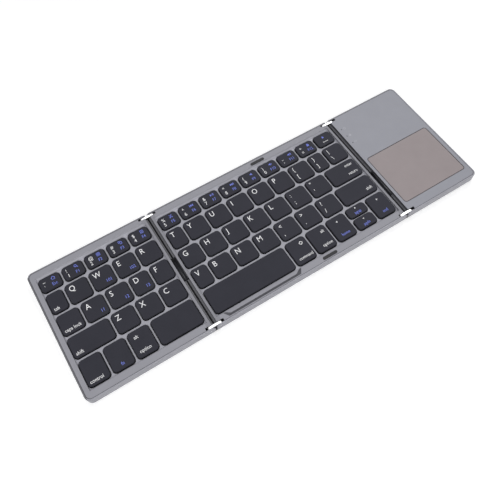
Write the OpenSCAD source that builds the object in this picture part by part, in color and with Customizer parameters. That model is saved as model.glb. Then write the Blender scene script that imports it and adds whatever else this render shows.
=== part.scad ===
// Folding keyboard of three panels: a centre panel and two wings that fold up and over it.
// X runs along the open keyboard, Y from the user's side to the back, Z up from the table.

/* [Panels] */
// Length of the open keyboard over its three panels
open_length = 304.5; // [300:0.5:312]
// Depth of each panel from front wall to back wall
panel_depth = 97; // [95:0.5:102]
// Thickness of a panel without its feet
panel_thick = 7; // [6.8:0.1:8]
// Distance from the middle of the centre panel to the line where the folded wings meet
meet_offset = 12.45; // [8:0.05:14]
// Thickness of the walls of the metal shells
shell_wall = 1; // [0.8:0.05:1.2]
// Thickness of the floors of the metal shells
floor_thick = 1; // [0.8:0.05:1.2]
// Radius of the outer corners, seen from above
corner_r = 4; // [3:0.1:6]
// Rounding along the bottom edges of the shells
edge_r = 1; // [0.5:0.1:1.5]
// Bevel along the top edges of the shells
edge_bevel = 0.3; // [0.1:0.05:0.4]
// Gap all round between a top frame and the shell wall
seam = 0.26; // [0.1:0.01:0.35]
// Height of the top frame's lip over the shell's rounded end
lip_height = 0.8; // [0.6:0.05:1]
// Thickness of the skirt that stands the top frame on the shell's floor
skirt_wall = 1.2; // [0.8:0.1:1.5]

/* [Folding] */
// Height of the pivot axes over the underside of the shells
pin_z = 4; // [3.5:0.05:4.2]
// Gap between a wing and the centre panel when the wing is folded in, kept by the bumpers
fold_gap = 1; // [0.8:0.05:1.4]
// Gap between the rounded ends of two panels
nose_gap = 0.9; // [0.2:0.05:1.2]
// Distance past the pivot axis at which a panel's top ends
lip_reach = 1.55; // [1.3:0.05:1.6]
// Depth of the step in the shell's rounded end below the panel's top
ledge_drop = 2; // [1.5:0.1:2.6]
// Gap between the ends of the two wings when both are folded in
meet_gap = 2.55; // [0.3:0.05:4]
// Radius of the pivot pins
pin_r = 0.8; // [0.6:0.05:1]
// Running clearance of a pin in its panel, on the radius
pin_play = 0.04; // [0.02:0.01:0.08]
// Depth of a pin's end below the outside of the wall
pin_recess = 0.15; // [0:0.05:0.3]
// Half the height of a link bar
link_r = 2.2; // [2:0.05:2.3]
// Width of a link bar
link_w = 1.5; // [1.3:0.1:2]
// Clearance on each side of a link bar in its slot
link_play = 0.2; // [0.1:0.05:0.3]
// Clearance beyond the ends of a link bar in its slot
link_end_play = 0.9; // [0.2:0.05:1]
// Thickness of the shell's ear outside a link bar
ear_thick = 1.1; // [1:0.05:1.4]
// Thickness of the lug inside a link bar
lug_thick = 1.5; // [1.2:0.1:2]
// Wall behind the end of a link's slot
slot_wall = 0.8; // [0.6:0.1:1]
// Distance past the pivot axis at which a panel's end wall begins
end_wall_from = 1; // [0.8:0.1:1.2]

/* [Cables] */
// Width of the left flexible cable
left_cable_w = 17.5; // [12:0.5:24]
// Place of the left cable along the depth
left_cable_y = -0.2; // [-10:0.1:10]
// Width of the right flexible cable
right_cable_w = 22; // [12:0.5:28]
// Place of the right cable along the depth
right_cable_y = -17.4; // [-20:0.1:0]
// Thickness of the flexible cables
cable_thick = 0.25; // [0.2:0.05:0.35]
// Half the opening between the two panels' cable notches
notch_half = 1.9; // [1.7:0.05:2.1]
// Space beside a cable in its notch
notch_side = 1; // [0.5:0.1:2]
// Half the width of the loop that a cable makes between two panels
loop_half = 1.45; // [1.2:0.05:1.5]
// Height of a cable's exit over the pivot axis
cable_rise = 0.9; // [0.7:0.1:1.2]
// Depth below the pivot axis at which the loop begins to turn
loop_drop = 0.8; // [0.5:0.1:0.9]
// Space over and under a cable in its slit
slit_play = 0.15; // [0.1:0.05:0.2]
// Distance from the pivot axis to a cable's end in its slit
cable_end = 0.5; // [0.3:0.05:0.7]
// Radius of a cable's bend where it leaves its slit
cable_bend = 0.7; // [0.5:0.05:0.8]

/* [Keys] */
// Gap between neighbouring caps in a row
key_gap = 1.6; // [1.4:0.05:2]
// Gap between rows of caps
row_gap = 1.95; // [1.6:0.05:2.3]
// Depth of the caps in the three letter rows, before the rows are fitted to the panel
cap_depth = 15.1; // [14.5:0.1:15.5]
// Depth of the caps in the top row, before fitting
top_cap_depth = 10.7; // [10:0.05:12]
// Depth of the caps in the bottom row, before fitting
bottom_cap_depth = 18.6; // [17:0.05:19]
// Gap between the up and down arrows' caps
pair_gap = 1.2; // [1:0.05:1.6]
// Part of the depth of the two caps that the up arrow's cap takes
up_part = 0.47; // [0.4:0.01:0.5]
// Width of a plain letter cap, before its row is fitted to the panel
letter_w = 15.5; // [15:0.05:15.6]
// Width of a digit cap, before fitting
digit_w = 14.65; // [14:0.05:15]
// Width of the first and last digit caps on the centre panel, before fitting
end_digit_w = 14.25; // [14:0.05:15]
// Width of the narrow caps next to the folds, before fitting
narrow_w = 11.4; // [11.2:0.1:12.5]
// Width of the tab cap, before fitting
tab_w = 11.45; // [11.2:0.05:12.5]
// Width of the caps lock cap, before fitting
caps_lock_w = 15.3; // [15:0.05:15.6]
// Width of the two home caps next to the left fold, before fitting
fold_letter_w = 13.6; // [13:0.05:14]
// Width of the first home cap on the centre panel, before fitting
centre_home_w = 14.8; // [14:0.05:15.5]
// Width of the left shift cap, before fitting
left_shift_w = 28.4; // [28:0.1:30]
// Width of the caps beside the space caps, before fitting
modifier_w = 15.1; // [14.5:0.05:15.4]
// Width of the up and down arrows' caps, before fitting
pair_w = 15.6; // [14.5:0.05:16]
// Width of the right arrow's cap, before fitting
right_arrow_w = 14.55; // [14:0.05:15.5]
// Width of the left space cap, before fitting
left_space_w = 30.8; // [28:0.1:32]
// Width of the right space cap, before fitting
right_space_w = 61.2; // [58:0.1:62]
// Width of the backslash cap, before fitting
backslash_w = 14.95; // [14:0.05:17]
// Width of the enter cap, before fitting
enter_w = 24.8; // [24:0.1:27]
// Width of the right shift cap, before fitting
right_shift_w = 28; // [27:0.1:31]
// Height of a cap
cap_height = 2.3; // [1.9:0.05:2.6]
// Radius of a cap's corners
cap_r = 2.6; // [2:0.1:3]
// Bevel round a cap's top
cap_bevel = 0.45; // [0.2:0.05:0.6]
// Thickness of a cap's walls
cap_wall = 0.9; // [0.7:0.05:1]
// Thickness of a cap's top
cap_top = 0.9; // [0.7:0.05:1]
// Depth of the cap tops below the rim
cap_sink = 0.1; // [0.05:0.05:0.3]
// Gap round a cap in its window
window_play = 0.35; // [0.25:0.05:0.45]
// Key travel
key_travel = 1.2; // [0.8:0.1:1.4]
// Distance from a panel's outer end to its first caps
field_end = 4.75; // [4.5:0.05:6]
// Distance from the centre panel's pivot axes to the nearest caps
field_hinge = 0.75; // [0.6:0.05:1]
// Distance from the left wing's pivot axis to its nearest caps
left_field_hinge = 0.45; // [0.4:0.05:1]
// Distance from the front wall to the caps
field_front = 7.05; // [6.8:0.05:8]
// Distance from the back wall to the caps
field_back = 7.55; // [7.2:0.05:8.5]

/* [Deck] */
// Depth of the deck round the keys below the rim
deck_drop = 1.6; // [1.2:0.05:1.8]
// Thickness of the deck
deck_thick = 1; // [0.8:0.05:1.2]
// Width of the slope behind the top row
slope_w = 1.9; // [1.2:0.1:2.2]
// Space between the bottom row and the front rim
deck_front = 1.3; // [0.5:0.05:1.6]
// Space between the top row and the foot of the slope
deck_back = 0.4; // [0.35:0.05:0.8]
// Space between the outer caps and the ends of the centre panel's deck
deck_side = 0.75; // [0.4:0.05:1]
// Distance that the thumb scoop reaches into the front rim
scoop_reach = 3.85; // [2:0.05:4]
// Width of the slope at the front of the thumb scoop
scoop_slope = 0.8; // [0.6:0.1:1.5]
// Distance from the space cap's left end to the scoop
scoop_inset = 4; // [3:0.1:8]
// Distance from the space cap's right end to the scoop's right end
scoop_past = 2.2; // [1:0.1:3]
// Length along the rim of the scoop's slanting ends
scoop_slant = 2.5; // [1:0.1:4]

/* [Key mechanism] */
// Thickness of the steel plate under the keys
plate_thick = 0.4; // [0.3:0.05:0.5]
// Thickness of the switch membrane
membrane_thick = 0.3; // [0.2:0.05:0.4]
// Space between a panel's walls and its key plate
plate_margin = 0.5; // [0.3:0.1:1]
// Radius of the corners of plates and membranes
plate_r = 1; // [0.5:0.1:2]
// Distance from a dome to the slots that hold its scissor lift
hook_from_dome = 1.3; // [1:0.05:1.5]
// Width of those slots
hook_w = 0.8; // [0.6:0.05:1]
// Length of those slots
hook_len = 3; // [2:0.1:3.2]
// Radius of a rubber dome's foot
dome_r = 1.65; // [1.5:0.05:1.7]
// Largest part of the depth inside its cap that the radius of a dome's foot takes
dome_part = 0.2; // [0.15:0.01:0.22]
// Radius of a dome's tip as a part of its foot's
dome_taper = 0.67; // [0.6:0.01:0.8]
// Wall of a rubber dome
dome_wall = 0.5; // [0.4:0.05:0.6]
// Height of the upright foot of a dome
dome_foot = 0.3; // [0.2:0.05:0.5]
// Height of the upright tip of a dome
dome_tip = 0.7; // [0.5:0.05:0.9]
// Thickness of a dome under its tip
dome_plug = 0.9; // [0.8:0.05:1.2]
// Gap between a dome and its cap
dome_play = 0.1; // [0.05:0.05:0.2]
// Width of the outer arm of a key's scissor lift
scissor_w = 9.2; // [8.8:0.1:9.4]
// Length of a scissor arm
scissor_len = 7.4; // [7:0.1:8]
// Thickness of a scissor arm
scissor_thick = 0.6; // [0.5:0.05:0.7]
// Width of the bars of a scissor arm
scissor_bar = 0.75; // [0.7:0.05:0.8]
// Space between the two arms of a scissor lift
scissor_gap = 0.2; // [0.15:0.05:0.25]
// Radius of a scissor lift's pivot stubs
stub_r = 0.2; // [0.15:0.01:0.22]
// Clearance round a pivot stub
stub_play = 0.05; // [0.03:0.01:0.08]
// Space between a lift's arms and the inside of its cap
lift_play = 0.2; // [0.1:0.05:0.4]
// Width past which a cap rides on two scissor lifts
two_lift_w = 22; // [18:1:24]

/* [Touchpad panel] */
// Depth of the touchpad
pad_d = 44.4; // [40:0.05:46]
// Distance from the right wing's pivot axis to the touchpad
pad_from_axis = 0.75; // [0.7:0.05:3]
// Distance from the touchpad to the right wing's outer end
pad_from_end = 4.05; // [3.5:0.05:6]
// Distance from the front wall to the touchpad
pad_from_front = 8.2; // [8:0.05:12]
// Radius of the touchpad's corners
pad_r = 2; // [1:0.1:3]
// Depth of the touchpad below the cover
pad_sink = 0.08; // [0.05:0.01:0.15]
// Gap round the touchpad
pad_play = 0.2; // [0.1:0.01:0.25]
// Thickness of the cover over the touchpad panel
cover_thick = 1.2; // [1:0.05:1.4]
// Margin of the touchpad's board round the touchpad
board_lip = 1; // [0.8:0.1:1.2]
// Thickness of the circuit boards
board_thick = 0.8; // [0.6:0.05:1]
// Distance from the touchpad's edges to the battery under it
battery_inset = 7; // [5:0.5:10]
// Thickness of the battery
battery_thick = 3.2; // [2.5:0.1:3.4]
// Radius of the battery's corners
battery_r = 1.5; // [0.5:0.1:3]
// Distance from the pivot axis to the main board
main_from_axis = 0.3; // [0.2:0.1:1]
// Distance from the main board to the right wing's outer end
main_from_end = 5; // [3:0.1:8]
// Distance from the touchpad to the main board
main_from_pad = 7.3; // [5:0.1:10]
// Gap between the main board and the hinge blocks
main_play = 0.4; // [0.2:0.05:1]
// Radius of the main board's corners
main_r = 1; // [0.5:0.1:2]
// Distance from the main board's edges to its posts
post_inset = 3.4; // [2.5:0.1:5]
// Height of the posts under the main board
post_height = 0.6; // [0.5:0.05:0.8]
// Radius of the posts under the main board
post_r = 1.8; // [1.5:0.1:2.2]
// Radius of the locating pegs on the posts
peg_r = 0.8; // [0.6:0.05:1]
// Clearance round a locating peg
peg_play = 0.1; // [0.05:0.05:0.2]
// Width of the square chip on the main board
chip_w = 7; // [5:0.5:9]
// Thickness of that chip
chip_thick = 0.9; // [0.6:0.05:1.2]
// Width of the radio module on the main board
radio_w = 9; // [7:0.5:12]
// Depth of the radio module
radio_d = 12; // [10:0.5:14]
// Thickness of the radio module
radio_thick = 1.1; // [0.8:0.05:1.4]
// Radius of the three status lights
light_r = 0.5; // [0.4:0.05:0.6]
// Clearance round a status light
light_play = 0.02; // [0.01:0.01:0.05]
// Width of the flange round a light guide's foot
light_flange = 0.4; // [0.2:0.05:0.6]
// Distance from the pivot axis to the status lights
light_from_axis = 1.3; // [1.2:0.1:4]
// Distance from the back wall to the nearest status light
light_from_back = 12.9; // [10:0.1:16]
// Spacing of the status lights
light_step = 7.1; // [5:0.1:8]
// Width of the charging socket's shell
socket_w = 8.9; // [8.5:0.1:9.2]
// Height of the charging socket's shell
socket_h = 3.2; // [3:0.05:3.3]
// Length of the charging socket
socket_len = 7; // [6:0.1:8]
// Sheet thickness of the charging socket
socket_sheet = 0.3; // [0.2:0.05:0.4]
// Distance from the right wing's outer end to the middle of the socket
socket_from_end = 30.25; // [20:0.25:40]
// Depth of the socket's mouth below the outside of the wall
socket_recess = 0.1; // [0:0.05:0.3]
// Space between the socket's contact tongue and its ends
tongue_side = 2.3; // [1.5:0.1:2.6]
// Thickness of the contact tongue
tongue_thick = 0.7; // [0.5:0.05:0.8]
// Depth of the contact tongue below the socket's mouth
tongue_recess = 0.8; // [0.5:0.05:1.5]

/* [Pads and magnet] */
// Height of the rubber feet
foot_height = 0.6; // [0.4:0.05:1]
// Length of a rubber foot
foot_len = 12; // [8:0.5:16]
// Width of a rubber foot
foot_w = 4; // [3:0.1:6]
// Step round the underside of a foot
foot_step = 0.2; // [0.1:0.05:0.4]
// Distance of the feet from the ends and walls of their panel
foot_inset = 8; // [7:0.5:14]
// Length of the rubber bumpers on the centre panel's rims
bumper_len = 11.3; // [8:0.1:14]
// Width of the rubber bumpers
bumper_w = 2.1; // [1.5:0.05:2.3]
// Height of the bumpers over the rim
bumper_proud = 0.5; // [0.3:0.05:0.8]
// Depth of the bumpers' pockets
bumper_deep = 0.8; // [0.5:0.1:1]
// Distance of the front bumper's middle from the front wall
bumper_from_front = 3; // [2.8:0.05:3.8]
// Distance of the back bumper's middle from the back wall
bumper_from_back = 3.85; // [2.8:0.05:4.2]
// Radius of the magnet that wakes the keyboard
magnet_r = 1.5; // [1:0.1:1.6]
// Thickness of that magnet
magnet_thick = 1; // [0.8:0.1:1.5]
// Distance from the magnet to the hinge block beside it
magnet_from_block = 3; // [1:0.5:10]
// Distance from the back wall to the middle of the magnet
magnet_from_back = 4.1; // [3.8:0.1:4.3]

/* [Hidden] */

metal = [0.56, 0.56, 0.6];
frame_grey = [0.58, 0.58, 0.62];
cap_black = [0.16, 0.15, 0.18];
rubber_black = [0.08, 0.08, 0.09];
steel = [0.75, 0.76, 0.78];
board_green = [0.1, 0.32, 0.18];
pad_brown = [0.5, 0.46, 0.47];

// Overlap that makes a cut run clear of a face
over = 1;
// Thickness of the two slices that a hull joins
slice = 0.01;

// Folding geometry: a wing that has turned over about both pins lies fold_gap above the centre panel
pin_step = 2 * (panel_thick - pin_z) + fold_gap;
nose_r = (pin_step - nose_gap) / 2;
pin_span = (open_length - 2 * pin_step + meet_gap) / 2;
left_reach = (pin_span - meet_gap) / 2 + meet_offset;
right_reach = (pin_span - meet_gap) / 2 - meet_offset;
left_end = -open_length / 2;
left_pin = left_end + left_reach;
centre_left_pin = left_pin + pin_step;
centre_right_pin = centre_left_pin + pin_span;
right_pin = centre_right_pin + pin_step;
right_end = open_length / 2;
left_fold = (left_pin + centre_left_pin) / 2;
right_fold = (centre_right_pin + right_pin) / 2;
meet_x = centre_left_pin + left_reach + meet_gap / 2;

// Where the link bars run along the depth, from the outside of the wall
slot_w = link_w + 2 * link_play;
slot_out = panel_depth / 2 - ear_thick;
slot_in = slot_out - slot_w;
lug_in = slot_in - lug_thick;
slot_reach = link_r + link_end_play;
block_reach = slot_reach + slot_wall;

// Heights over the underside of the shells
deck_z = panel_thick - deck_drop;
deck_under = deck_z - deck_thick;
lip_z = panel_thick - lip_height;
ledge_z = panel_thick - ledge_drop;
cap_top_z = panel_thick - cap_sink;
cap_z = cap_top_z - cap_height;
cap_under = cap_top_z - cap_top;
membrane_z = floor_thick + plate_thick;
dome_z = membrane_z + membrane_thick;
dome_h = cap_under - dome_z - dome_play;

// Fields of caps
left_field_x = left_end + field_end;
left_field_w = left_pin - left_field_hinge - left_field_x;
centre_field_x = centre_left_pin + field_hinge;
centre_field_w = pin_span - 2 * field_hinge;
field_back_y = panel_depth / 2 - field_back;
field_front_y = field_front - panel_depth / 2;

// Rows of keys, each key as its node and its width before fitting
left_rows = [
    [["esc_key", digit_w], for (i = [1 : 4]) ["left_digit_keys", digit_w]],
    [["tab_key", tab_w], for (i = [1 : 4]) ["left_upper_keys", letter_w]],
    [["caps_key", caps_lock_w], ["left_home_keys", letter_w], ["left_home_keys", letter_w],
        ["left_home_keys", fold_letter_w], ["left_home_keys", fold_letter_w]],
    [["left_shift_key", left_shift_w], for (i = [1 : 3]) ["left_lower_keys", letter_w]],
    [["control_key", modifier_w], ["fn_key", modifier_w], ["left_option_key", modifier_w],
        ["left_space_key", left_space_w]]
];
centre_rows = [
    [["digit_keys_5_to_8", end_digit_w], for (i = [1 : 3]) ["digit_keys_5_to_8", digit_w],
        for (i = [1 : 4]) ["digit_keys_9_to_plus", digit_w], ["backspace_key", end_digit_w]],
    [["upper_keys_t_to_i", narrow_w], for (i = [1 : 3]) ["upper_keys_t_to_i", letter_w],
        for (i = [1 : 3]) ["upper_keys_o_to_bracket", letter_w], ["upper_keys_o_to_bracket", narrow_w],
        ["backslash_key", backslash_w]],
    [["centre_home_keys", centre_home_w], for (i = [1 : 6]) ["centre_home_keys", letter_w],
        ["enter_key", enter_w]],
    [["centre_lower_keys", narrow_w], for (i = [1 : 6]) ["centre_lower_keys", letter_w],
        ["right_shift_key", right_shift_w]],
    [["right_space_key", right_space_w], ["command_key", modifier_w], ["right_option_key", modifier_w],
        ["left_arrow_key", modifier_w], ["arrow_pair", pair_w], ["right_arrow_key", right_arrow_w]]
];

// Sum of v up to its item n
function sum(v, n) = n < 0 ? 0 : v[n] + sum(v, n - 1);
// Sizes v made larger or smaller together, so that they and the gaps between them fill room
function fitted(v, gap, room) = let (last = len(v) - 1)
    [for (x = v) x * (room - last * gap) / sum(v, last)];
function fitted_row(row, room) = fitted([for (k = row) k[1]], key_gap, room);

row_depths = fitted([top_cap_depth, cap_depth, cap_depth, cap_depth, bottom_cap_depth], row_gap,
    field_back_y - field_front_y);
function row_top(r) = field_back_y - sum(row_depths, r - 1) - r * row_gap;

// One key as node, centre, width and depth; the arrow pair gives two
function keys_at(name, x, top, w, d) = let (up = (d - pair_gap) * up_part, down = d - pair_gap - up)
    name != "arrow_pair"
        ? [[name, x + w / 2, top - d / 2, w, d]]
        : [["up_arrow_key", x + w / 2, top - up / 2, w, up],
            ["down_arrow_key", x + w / 2, top - d + down / 2, w, down]];
function row_keys(row, r, x, w) = let (full = fitted_row(row, w))
    [for (i = [0 : len(row) - 1])
        each keys_at(row[i][0], x + sum(full, i - 1) + i * key_gap, row_top(r), full[i], row_depths[r])];
function field_keys(rows, x, w) = [for (r = [0 : len(rows) - 1]) each row_keys(rows[r], r, x, w)];

left_keys = field_keys(left_rows, left_field_x, left_field_w);
centre_keys = field_keys(centre_rows, centre_field_x, centre_field_w);

// Touchpad panel
pad_w = right_reach - pad_from_axis - pad_from_end;
pad_x = right_pin + pad_from_axis + pad_w / 2;
pad_y = pad_from_front + pad_d / 2 - panel_depth / 2;
cover_under = panel_thick - cover_thick;
main_w = right_reach - main_from_axis - main_from_end;
main_x = right_pin + main_from_axis + main_w / 2;
main_back = lug_in - main_play;
main_d = main_back - pad_y - pad_d / 2 - main_from_pad;
main_y = main_back - main_d / 2;
main_z = floor_thick + post_height;
socket_x = right_end - socket_from_end;
socket_z = main_z + board_thick + socket_h / 2;

// A rectangle with round corners, about its centre
module round_rect(w, d, r) {
    square([w - 2 * r, d], center = true);
    square([w, d - 2 * r], center = true);
    for (x = [-1, 1], y = [-1, 1])
        translate([x * (w / 2 - r), y * (d / 2 - r)])
            circle(r, $fn = 32);
}

// Section through a shell's outside of width w: round at the bottom, bevelled at the top
module edge_section(w) {
    translate([-w / 2, edge_r])
        square([w, panel_thick - edge_r - edge_bevel]);
    translate([edge_r - w / 2, 0])
        square([w - 2 * edge_r, 2 * edge_r]);
    for (s = [-1, 1])
        translate([s * (w / 2 - edge_r), edge_r])
            circle(edge_r, $fn = 48);
    polygon([[-w / 2, panel_thick - edge_bevel], [w / 2, panel_thick - edge_bevel],
        [w / 2 - edge_bevel, panel_thick], [edge_bevel - w / 2, panel_thick]]);
}

// Outer end of a wing, with its two round corners; dir points from the end into the wing
module outer_end(x, dir) {
    translate([x + dir * corner_r, 0, 0]) {
        intersection() {
            rotate([90, 0, 0])
                linear_extrude(panel_depth - 2 * corner_r, center = true)
                    edge_section(2 * corner_r);
            translate([-dir * corner_r / 2, 0, panel_thick / 2])
                cube([corner_r + 2 * over, panel_depth, 2 * panel_thick], center = true);
        }
        for (s = [-1, 1])
            translate([0, s * (panel_depth / 2 - corner_r), 0])
                rotate_extrude($fn = 64)
                    intersection() {
                        edge_section(2 * corner_r);
                        square([2 * corner_r, panel_thick]);
                    }
    }
}

// Section of a folding end about the pivot axis at x: round above the axis, where the other panel
// passes it, and drawn down to the underside below it
module nose_section(x) {
    translate([x, pin_z]) {
        circle(nose_r, $fn = 96);
        intersection() {
            scale([1, pin_z / nose_r])
                circle(nose_r, $fn = 96);
            translate([-nose_r, -pin_z])
                square([2 * nose_r, pin_z]);
        }
    }
}

// Outside of a panel between x0 and x1, with or without a folding end on either side
module envelope(x0, x1, fold0, fold1) {
    from = fold0 ? x0 : x0 + corner_r;
    to = fold1 ? x1 : x1 - corner_r;
    start = fold0 ? x0 - nose_r : from;
    stop = fold1 ? x1 + nose_r : to;
    intersection() {
        rotate([90, 0, 0])
            linear_extrude(panel_depth + 2 * over, center = true) {
                translate([from, 0])
                    square([to - from, panel_thick]);
                if (fold0)
                    nose_section(x0);
                if (fold1)
                    nose_section(x1);
            }
        translate([start, 0, 0])
            rotate([90, 0, 90])
                linear_extrude(stop - start)
                    edge_section(panel_depth);
    }
    if (!fold0)
        outer_end(x0, 1);
    if (!fold1)
        outer_end(x1, -1);
}

// Plan of the space inside the walls, drawn in by inset
module inner_plan(x0, x1, fold0, fold1, inset) {
    a = fold0 ? x0 - end_wall_from + inset : x0 + shell_wall + inset;
    b = fold1 ? x1 + end_wall_from - inset : x1 - shell_wall - inset;
    w = panel_depth - 2 * (shell_wall + inset);
    r = corner_r - shell_wall;
    a_r = fold0 ? 0 : r;
    b_r = fold1 ? 0 : r;
    translate([a + a_r, -w / 2])
        square([b - a - a_r - b_r, w]);
    if (!fold0)
        round_end(a, 1, w, r);
    if (!fold1)
        round_end(b, -1, w, r);
}

module round_end(x, dir, w, r) {
    translate([min(x, x + dir * r), r - w / 2])
        square([r, w - 2 * r]);
    for (s = [-1, 1])
        translate([x + dir * r, s * (w / 2 - r)])
            circle(r, $fn = 48);
}

// A box from one corner to another, whichever order the corners come in
module span_box(p, q) {
    translate([min(p[0], q[0]), min(p[1], q[1]), min(p[2], q[2])])
        cube([abs(p[0] - q[0]), abs(p[1] - q[1]), abs(p[2] - q[2])]);
}

// Block that carries a link bar between ear and lug; dir points from the panel to the fold
module hinge_block(x, dir, side) {
    span_box([x - dir * block_reach, side * lug_in, floor_thick / 2],
        [x + dir * (end_wall_from + seam), side * (panel_depth / 2 - shell_wall / 2), lip_z]);
}

module link_slot(x, dir, side) {
    span_box([x - dir * slot_reach, side * slot_in, pin_z - slot_reach],
        [x + dir * (nose_r + over), side * slot_out, panel_thick + over]);
}

module pin_bore(x, side) {
    translate([x, side * (lug_in + panel_depth / 2) / 2, pin_z])
        rotate([90, 0, 0])
            cylinder(h = panel_depth / 2 - lug_in + 2 * over, r = pin_r + pin_play, center = true, $fn = 32);
}

module cable_notch(x, dir, y, w) {
    fold = x + dir * pin_step / 2;
    span_box([fold - dir * notch_half, y - w / 2 - notch_side, -over],
        [fold + dir * over, y + w / 2 + notch_side, panel_thick + over]);
    span_box([x + dir * (cable_end - slit_play), y - w / 2 - slit_play,
        pin_z + cable_rise - cable_thick / 2 - slit_play],
        [fold, y + w / 2 + slit_play, pin_z + cable_rise + cable_thick / 2 + slit_play]);
}

// Metal bottom shell. folds lists each folding end as pivot x, direction, cable y and cable width.
module shell(x0, x1, fold0, fold1, folds) {
    difference() {
        union() {
            difference() {
                envelope(x0, x1, fold0, fold1);
                translate([0, 0, floor_thick])
                    linear_extrude(panel_thick)
                        inner_plan(x0, x1, fold0, fold1, 0);
                for (f = folds) {
                    span_box([f[0], -slot_out, lip_z],
                        [f[0] + f[1] * (nose_r + over), slot_out, panel_thick + over]);
                    span_box([f[0] + f[1] * lip_reach, -slot_out, ledge_z],
                        [f[0] + f[1] * (nose_r + over), slot_out, panel_thick + over]);
                }
            }
            for (f = folds, side = [-1, 1])
                hinge_block(f[0], f[1], side);
        }
        for (f = folds, side = [-1, 1]) {
            link_slot(f[0], f[1], side);
            pin_bore(f[0], side);
        }
        for (f = folds)
            cable_notch(f[0], f[1], f[2], f[3]);
    }
}

// Blank of a top frame: a plate of the given underside, a lip on each folding end and a skirt
module frame_blank(x0, x1, fold0, fold1, folds, under) {
    difference() {
        union() {
            translate([0, 0, under])
                linear_extrude(panel_thick - under)
                    inner_plan(x0, x1, fold0, fold1, seam);
            for (f = folds)
                span_box([f[0] - f[1] * over, seam - slot_out, lip_z],
                    [f[0] + f[1] * lip_reach, slot_out - seam, panel_thick]);
            difference() {
                translate([0, 0, floor_thick])
                    linear_extrude(under - floor_thick + over / 2)
                        difference() {
                            inner_plan(x0, x1, fold0, fold1, seam);
                            inner_plan(x0, x1, fold0, fold1, seam + skirt_wall);
                        }
                for (f = folds)
                    span_box([f[0] - f[1] * (block_reach + seam), -panel_depth / 2, 0],
                        [f[0] + f[1] * nose_r, panel_depth / 2, under]);
            }
        }
        for (f = folds, side = [-1, 1]) {
            link_slot(f[0], f[1], side);
            span_box([f[0] - f[1] * (block_reach + seam), side * (lug_in - seam), 0],
                [f[0] + f[1] * (nose_r + over), side * panel_depth / 2, lip_z]);
        }
        for (f = folds)
            cable_notch(f[0], f[1], f[2], f[3]);
    }
}

// Recess round the keys, which passes them by side, with a window for each cap
module key_deck(keys, x, w, side) {
    y0 = field_front_y - deck_front;
    y1 = field_back_y + deck_back;
    span_box([x - side, y0, deck_z], [x + w + side, y1, panel_thick + over]);
    translate([x - side, 0, 0])
        rotate([90, 0, 90])
            linear_extrude(w + 2 * side)
                polygon([[y1 - over, deck_z], [y1, deck_z], [y1 + slope_w, panel_thick],
                    [y1 + slope_w, panel_thick + over], [y1 - over, panel_thick + over]]);
    translate([0, 0, deck_under - over])
        linear_extrude(deck_thick + 2 * over)
            for (k = keys)
                translate([k[1], k[2]])
                    round_rect(k[3] + 2 * window_play, k[4] + 2 * window_play, cap_r + window_play);
}

// Outline of the thumb scoop, drawn in by inset along the rim
function scoop_outline(x0, x1, y, inset) = [[x0 + inset, y + over], [x0 + inset, y],
    [x0 + inset + scoop_slant, y - scoop_reach + inset],
    [x1 - inset - scoop_slant, y - scoop_reach + inset], [x1 - inset, y], [x1 - inset, y + over]];

// Trapezium scoop for the thumbs in front of the space cap
module thumb_scoop() {
    x0 = centre_field_x + scoop_inset;
    x1 = centre_field_x + fitted_row(centre_rows[len(centre_rows) - 1], centre_field_w)[0] + scoop_past;
    y = field_front_y - deck_front;
    hull() {
        translate([0, 0, deck_z])
            linear_extrude(slice)
                polygon(scoop_outline(x0, x1, y, scoop_slope));
        translate([0, 0, panel_thick])
            linear_extrude(slice)
                polygon(scoop_outline(x0, x1, y, 0));
    }
}

module cap(k) {
    w = k[3];
    d = k[4];
    body = cap_height - cap_bevel;
    translate([k[1], k[2], foot_height + cap_z])
        difference() {
            union() {
                linear_extrude(body)
                    round_rect(w, d, cap_r);
                translate([cap_r - w / 2, 0, body])
                    rotate([90, 0, 90])
                        linear_extrude(w - 2 * cap_r)
                            bevel_section(d);
                translate([0, d / 2 - cap_r, body])
                    rotate([90, 0, 0])
                        linear_extrude(d - 2 * cap_r)
                            bevel_section(w);
                for (x = [-1, 1], y = [-1, 1])
                    translate([x * (w / 2 - cap_r), y * (d / 2 - cap_r), body])
                        cylinder(h = cap_bevel, r1 = cap_r, r2 = cap_r - cap_bevel, $fn = 32);
            }
            translate([0, 0, -over])
                linear_extrude(cap_height - cap_top + over)
                    round_rect(w - 2 * cap_wall, d - 2 * cap_wall, cap_r - cap_wall);
        }
}

module bevel_section(w) {
    polygon([[-w / 2, 0], [w / 2, 0], [w / 2 - cap_bevel, cap_bevel], [cap_bevel - w / 2, cap_bevel]]);
}

module caps(keys, name) {
    color(cap_black)
        for (k = keys)
            if (k[0] == name)
                cap(k);
}

// Rubber dome for a cap of depth d
module dome(d) {
    r = min(dome_r, dome_part * (d - 2 * cap_wall));
    tip_r = r * dome_taper;
    rotate_extrude($fn = 24)
        polygon([[r - dome_wall, 0], [r, 0], [r, dome_foot], [tip_r, dome_h - dome_tip],
            [tip_r, dome_h], [0, dome_h], [0, dome_h - dome_plug],
            [tip_r - dome_wall, dome_h - dome_plug]]);
}

module domes(keys) {
    color(rubber_black)
        for (k = keys)
            translate([k[1], k[2], foot_height + dome_z])
                dome(k[4]);
}

// One arm of a scissor lift: a flat frame of width w, length l, tilted about its middle
module scissor_arm(w, l, tilt) {
    rotate([tilt, 0, 0])
        difference() {
            cube([w, l, scissor_thick], center = true);
            cube([w - 2 * scissor_bar, l - 2 * scissor_bar, 2 * scissor_thick], center = true);
        }
}

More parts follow.
